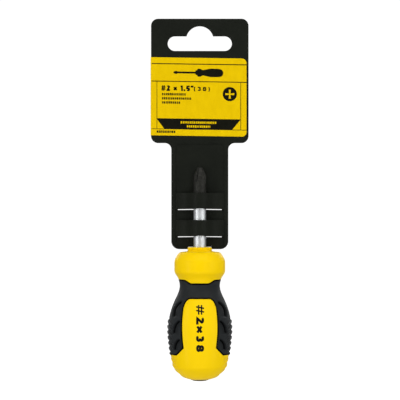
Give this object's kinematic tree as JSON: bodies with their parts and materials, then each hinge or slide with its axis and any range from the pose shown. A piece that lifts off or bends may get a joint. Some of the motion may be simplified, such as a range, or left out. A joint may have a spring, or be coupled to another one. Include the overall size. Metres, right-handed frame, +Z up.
{
  "type": "stubby cross-point screwdriver",
  "caption": "Stubby cross-point screwdriver with a two-tone ball handle and soft side grips, held blade up by a black plastic display hanger with a yellow wrap label.",
  "frame": {"origin": "middle of the hanger's slot, on the card's back face", "axes": "+Z up along the blade, from the handle to the hanger's top; -Y is the card's printed front; +X to the right seen from the front"},
  "size_m": [0.047, 0.0304, 0.1734],
  "materials": {
    "hanger_plastic": "fine matt texture",
    "label_paper": "coated, printed in black",
    "blade_steel": "bright plated, with a blackened tip",
    "core_plastic": "moulded",
    "yellow_plastic": "satin moulded",
    "grip_rubber": "soft matt, ribbed at the sides"
  },
  "bodies": {
    "hanger": {"hanger_card": "hanger_plastic", "wrap_label": "label_paper"},
    "screwdriver": {"blade": "blade_steel", "handle_core": "core_plastic", "handle_shell": "yellow_plastic", "soft_grip": "grip_rubber"}
  },
  "joints": [
    {"name": "blade_slide", "type": "slide", "parent": "hanger", "child": "screwdriver", "axis": [0, 0, -1], "range_m": [0, 0.042]}
  ]
}
